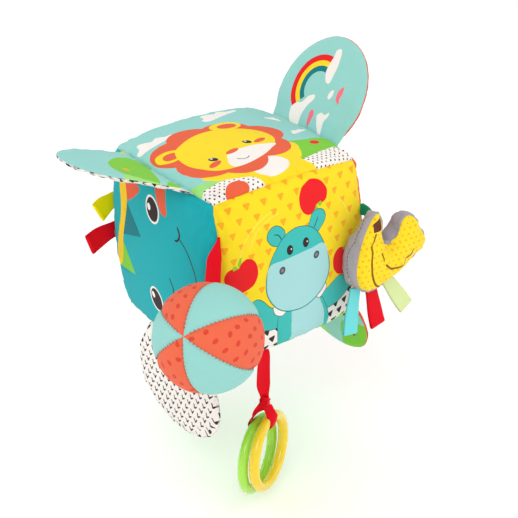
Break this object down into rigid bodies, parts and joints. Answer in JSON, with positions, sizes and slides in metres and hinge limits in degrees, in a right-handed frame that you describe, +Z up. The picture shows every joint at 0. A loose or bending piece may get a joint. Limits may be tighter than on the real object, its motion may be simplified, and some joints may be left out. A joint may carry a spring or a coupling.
{
  "type": "baby activity cube",
  "caption": "Soft padded fabric cube for babies with hinged page flaps, a hanging ball, a strap of teething rings, a banana plush and ribbon tags.",
  "frame": {"origin": "middle of the cube's flat base", "axes": "+Z up out of the top face, -Y out of the front face, -X out of the left face"},
  "size_m": [0.2894, 0.245, 0.38],
  "materials": {
    "print_yellow": "printed short-pile polyester",
    "print_teal": "printed short-pile polyester",
    "print_aqua": "printed short-pile polyester",
    "coral_fabric": "plain woven polyester",
    "lime_fabric": "plain woven polyester",
    "white_fabric": "printed woven polyester",
    "grey_jersey": "knitted jersey",
    "minky_yellow": "dotted minky plush",
    "foam": "polyurethane foam block",
    "stuffing": "polyester fibre filling",
    "film": "thin crinkling film",
    "squeaker_plastic": "soft moulded vinyl",
    "reed_plastic": "hard moulded plastic",
    "capsule_plastic": "hard moulded plastic",
    "bead_plastic": "hard moulded plastic",
    "ribbon_red": "satin ribbon",
    "ribbon_green": "satin ribbon",
    "ribbon_lime": "satin ribbon",
    "ribbon_pale_lime": "sheer satin ribbon",
    "ribbon_aqua": "satin ribbon",
    "ring_yellow": "glossy, slightly see-through moulded plastic",
    "ring_green": "glossy, slightly see-through moulded plastic"
  },
  "bodies": {
    "cube": {"foam_core": "foam", "front_panel": "print_yellow", "back_panel": "print_aqua", "left_panel": "print_teal", "right_panel": "coral_fabric", "top_panel": "print_aqua", "bottom_panel": "lime_fabric", "squeaker_bulb": "squeaker_plastic", "squeaker_reed": "reed_plastic"},
    "rainbow_flap": {"rainbow_flap_outer": "coral_fabric", "rainbow_flap_inner": "print_aqua", "rainbow_flap_film": "film"},
    "hill_flap": {"hill_flap_outer": "white_fabric", "hill_flap_inner": "print_aqua", "hill_flap_film": "film"},
    "tick_flap": {"tick_flap_outer": "white_fabric", "tick_flap_inner": "lime_fabric", "tick_flap_film": "film"},
    "meadow_flap": {"meadow_flap_outer": "coral_fabric", "meadow_flap_inner": "print_aqua", "meadow_flap_film": "film"},
    "ball_ribbon": {"ball_ribbon": "ribbon_red"},
    "ball": {"ball_gores_aqua": "print_aqua", "ball_gores_coral": "coral_fabric", "ball_stuffing": "stuffing", "rattle_capsule": "capsule_plastic"},
    "rattle_beads": {"rattle_beads": "bead_plastic"},
    "strap": {"ring_strap": "ribbon_red"},
    "yellow_ring": {"yellow_ring": "ring_yellow"},
    "green_ring": {"green_ring": "ring_green"},
    "plush_ribbon": {"plush_ribbon": "ribbon_green"},
    "plush": {"plush_front": "minky_yellow", "plush_gusset": "grey_jersey", "plush_stuffing": "stuffing"},
    "plush_tag_aqua": {"plush_tag_aqua": "ribbon_aqua"},
    "plush_tag_red": {"plush_tag_red": "ribbon_red"},
    "plush_tag_lime": {"plush_tag_lime": "ribbon_pale_lime"},
    "side_tag_lime": {"side_tag_lime": "ribbon_lime"},
    "side_tag_red": {"side_tag_red": "ribbon_red"}
  },
  "joints": [
    {"name": "rainbow_flap_fold", "type": "hinge", "parent": "cube", "child": "rainbow_flap", "pos_m": [0.08238, -0.002, 0.15738], "axis": [0, 1, 0], "range_deg": [-110, 133]},
    {"name": "hill_flap_fold", "type": "hinge", "parent": "cube", "child": "hill_flap", "pos_m": [-0.08238, 0.005, 0.15738], "axis": [0, 1, 0], "range_deg": [-102, 146]},
    {"name": "tick_flap_fold", "type": "hinge", "parent": "cube", "child": "tick_flap", "pos_m": [-0.08324, -0.016, -0.0022], "axis": [0, 1, 0], "range_deg": [-8, 85]},
    {"name": "meadow_flap_fold", "type": "hinge", "parent": "cube", "child": "meadow_flap", "pos_m": [0.08324, -0.016, -0.0022], "axis": [0, -1, 0], "range_deg": [-25, 68]},
    {"name": "ball_ribbon_swing", "type": "hinge", "parent": "cube", "child": "ball_ribbon", "pos_m": [-0.07927, -0.07927, 0.123], "axis": [-0.7071, 0.7071, 0], "range_deg": [0, 60]},
    {"name": "ball_twist", "type": "hinge", "parent": "ball_ribbon", "child": "ball", "pos_m": [-0.112, -0.114, 0.06], "axis": [0.4141, 0.4394, 0.7971], "range_deg": [-90, 90]},
    {"name": "rattle_slide", "type": "slide", "parent": "ball", "child": "rattle_beads", "axis": [0, 0, 1], "range_m": [-0.006, 0.006]},
    {"name": "strap_swing", "type": "hinge", "parent": "cube", "child": "strap", "pos_m": [-0.035, -0.08097, -0.0006], "axis": [-1, 0, 0], "range_deg": [-15, 60]},
    {"name": "yellow_ring_swing", "type": "hinge", "parent": "strap", "child": "yellow_ring", "pos_m": [-0.033, -0.082, -0.07135], "axis": [0.8729, 0.4879, 0], "range_deg": [-25, 0]},
    {"name": "green_ring_swing", "type": "hinge", "parent": "strap", "child": "green_ring", "pos_m": [-0.03861, -0.07196, -0.07735], "axis": [0.8729, 0.4879, 0], "range_deg": [0, 25]},
    {"name": "plush_turn", "type": "hinge", "parent": "cube", "child": "plush_ribbon", "pos_m": [0.08045, -0.08045, 0.107], "axis": [0, 0, -1], "range_deg": [-90, 0]},
    {"name": "plush_lift", "type": "hinge", "parent": "plush_ribbon", "child": "plush", "pos_m": [0.07644, -0.0885, 0.114], "axis": [-1, 0, 0], "range_deg": [0, 60]},
    {"name": "plush_tag_aqua_bend", "type": "hinge", "parent": "plush", "child": "plush_tag_aqua", "pos_m": [0.053, -0.1005, 0.036], "axis": [-0.9843, 0, 0.1767], "range_deg": [-12, 45]},
    {"name": "plush_tag_red_bend", "type": "hinge", "parent": "plush", "child": "plush_tag_red", "pos_m": [0.072, -0.1005, 0.035], "axis": [-0.9815, 0, -0.1915], "range_deg": [-12, 45]},
    {"name": "plush_tag_lime_bend", "type": "hinge", "parent": "plush", "child": "plush_tag_lime", "pos_m": [0.09, -0.1005, 0.039], "axis": [-0.8354, 0, -0.5496], "range_deg": [-12, 45]},
    {"name": "side_tag_lime_bend", "type": "hinge", "parent": "cube", "child": "side_tag_lime", "pos_m": [-0.08106, 0.08106, 0.103], "axis": [0, 0, 1], "range_deg": [-60, 60]},
    {"name": "side_tag_red_bend", "type": "hinge", "parent": "cube", "child": "side_tag_red", "pos_m": [-0.08178, 0.08178, 0.074], "axis": [0, 0, 1], "range_deg": [-60, 60]}
  ]
}
